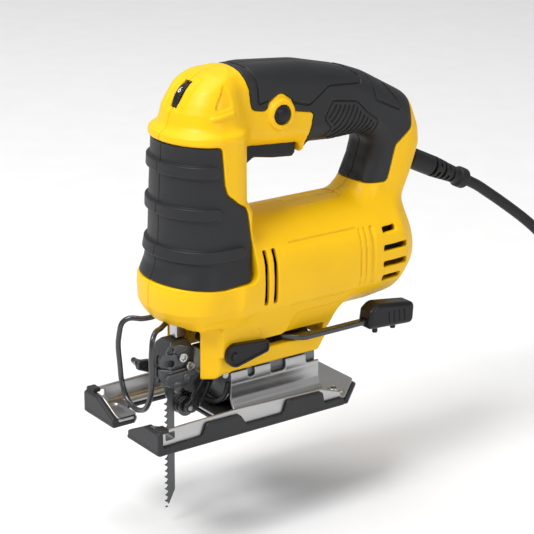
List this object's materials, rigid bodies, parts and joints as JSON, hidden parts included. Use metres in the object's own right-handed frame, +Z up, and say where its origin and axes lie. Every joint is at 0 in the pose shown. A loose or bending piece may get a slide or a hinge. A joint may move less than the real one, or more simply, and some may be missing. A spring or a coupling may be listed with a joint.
{
  "type": "corded jigsaw",
  "caption": "Corded hand jigsaw with a closed D-handle, reciprocating blade, tilting shoe, bevel lever and speed dial.",
  "frame": {"origin": "on the sole of the shoe, in the middle plane of the tool, 34 mm behind the blade's back edge", "axes": "+X forwards, the way the tool cuts; +Y to the operator's left; +Z up, away from the workpiece"},
  "size_m": [0.528, 0.1079, 0.273],
  "materials": {
    "yellow_housing": "fine moulded texture",
    "grip_rubber": "matt overmould",
    "black_plastic": "satin",
    "grey_plastic": "matt",
    "steel": "stamped and brushed",
    "dark_steel": "dark, oiled",
    "black_steel": "black oxide",
    "cast_alloy": "as cast",
    "copper": "bare copper",
    "bronze": "sintered",
    "carbon": "matt graphite",
    "circuit_board": "lacquered",
    "cord_rubber": "matt"
  },
  "bodies": {
    "housing": {"housing_left": "yellow_housing", "housing_right": "yellow_housing", "front_grip_left": "grip_rubber", "front_grip_right": "grip_rubber", "handle_grip_left": "grip_rubber", "handle_grip_right": "grip_rubber", "housing_screw_1": "black_steel", "housing_screw_2": "black_steel", "housing_screw_3": "black_steel", "housing_screw_4": "black_steel", "housing_screw_5": "black_steel", "housing_screw_6": "black_steel", "switch_module": "black_plastic", "speed_control_board": "circuit_board", "motor_stator": "steel", "front_bearing": "steel", "rear_bearing": "steel", "gear_plate": "cast_alloy", "carbon_brush_left": "carbon", "carbon_brush_right": "carbon", "brush_holder_left": "black_plastic", "brush_holder_right": "black_plastic", "gear_axle": "steel", "lower_bush": "bronze", "upper_bush": "bronze", "fork_pin": "steel", "finger_guard": "black_steel", "bevel_block": "cast_alloy", "bevel_bolt": "steel", "strain_relief": "cord_rubber", "cord_clamp": "black_plastic", "power_cord": "cord_rubber", "cord_coil": "cord_rubber", "plug": "black_plastic"},
    "armature": {"armature": "steel", "commutator": "copper", "cooling_fan": "black_plastic"},
    "drive_gear": {"drive_gear": "steel"},
    "plunger": {"plunger": "steel", "blade_clamp": "dark_steel", "clamp_screw_1": "steel", "clamp_screw_2": "steel", "clamp_pin": "steel", "blade": "dark_steel"},
    "clamp_lever": {"clamp_lever": "dark_steel"},
    "orbit_fork": {"orbit_fork": "dark_steel", "roller_pin": "steel"},
    "guide_roller": {"guide_roller": "steel"},
    "shoe": {"shoe_plate": "steel", "shoe_cover": "grey_plastic", "shoe_cradle": "steel", "shoe_rivet_left": "steel", "shoe_rivet_right": "steel"},
    "bevel_lever": {"bevel_lever_arm": "black_steel", "bevel_lever_knob": "black_plastic"},
    "orbit_selector": {"orbit_selector": "black_plastic"},
    "trigger": {"trigger": "black_plastic"},
    "lock_button": {"lock_button": "black_plastic"},
    "speed_dial": {"speed_dial": "black_plastic"}
  },
  "joints": [
    {"name": "armature_spin", "type": "hinge", "parent": "housing", "child": "armature", "pos_m": [-0.06, 0, 0.0845], "axis": [1, 0, 0], "continuous": true},
    {"name": "drive_gear_spin", "type": "hinge", "parent": "housing", "child": "drive_gear", "pos_m": [0, 0, 0.11075], "axis": [1, 0, 0], "continuous": true},
    {"name": "plunger_stroke", "type": "slide", "parent": "housing", "child": "plunger", "axis": [0, 0, 1], "range_m": [-0.009, 0.009]},
    {"name": "clamp_lever_release", "type": "hinge", "parent": "plunger", "child": "clamp_lever", "pos_m": [0.0316, 0, 0.0295], "axis": [0, 1, 0], "range_deg": [-60, 0]},
    {"name": "orbit_fork_swing", "type": "hinge", "parent": "housing", "child": "orbit_fork", "pos_m": [0.0125, 0, 0.03], "axis": [0, 1, 0], "range_deg": [0, 4]},
    {"name": "guide_roller_spin", "type": "hinge", "parent": "orbit_fork", "child": "guide_roller", "pos_m": [0.0277, 0, 0.0076], "axis": [0, 1, 0], "continuous": true},
    {"name": "shoe_bevel", "type": "hinge", "parent": "housing", "child": "shoe", "pos_m": [-0.025, 0, 0.026], "axis": [1, 0, 0], "range_deg": [-45, 45]},
    {"name": "bevel_lever_swing", "type": "hinge", "parent": "housing", "child": "bevel_lever", "pos_m": [-0.028, 0, 0.0455], "axis": [0, 0, 1], "range_deg": [-32, 0]},
    {"name": "orbit_selector_turn", "type": "hinge", "parent": "housing", "child": "orbit_selector", "pos_m": [0.0105, 0.03, 0.0445], "axis": [0, 1, 0], "range_deg": [0, 120]},
    {"name": "trigger_press", "type": "slide", "parent": "housing", "child": "trigger", "axis": [0, 0, 1], "range_m": [0, 0.005], "stiffness_N_per_m": 400, "springref_m": -0.003},
    {"name": "lock_button_press", "type": "slide", "parent": "housing", "child": "lock_button", "axis": [0, -1, 0], "range_m": [0, 0.0025], "stiffness_N_per_m": 300, "springref_m": -0.002},
    {"name": "speed_dial_turn", "type": "hinge", "parent": "housing", "child": "speed_dial", "pos_m": [0.019, 0, 0.188], "axis": [0, 1, 0], "range_deg": [-150, 150]}
  ],
  "couplings": [
    {"joint": "drive_gear_spin", "follows": "armature_spin", "ratio": -0.19048}
  ]
}
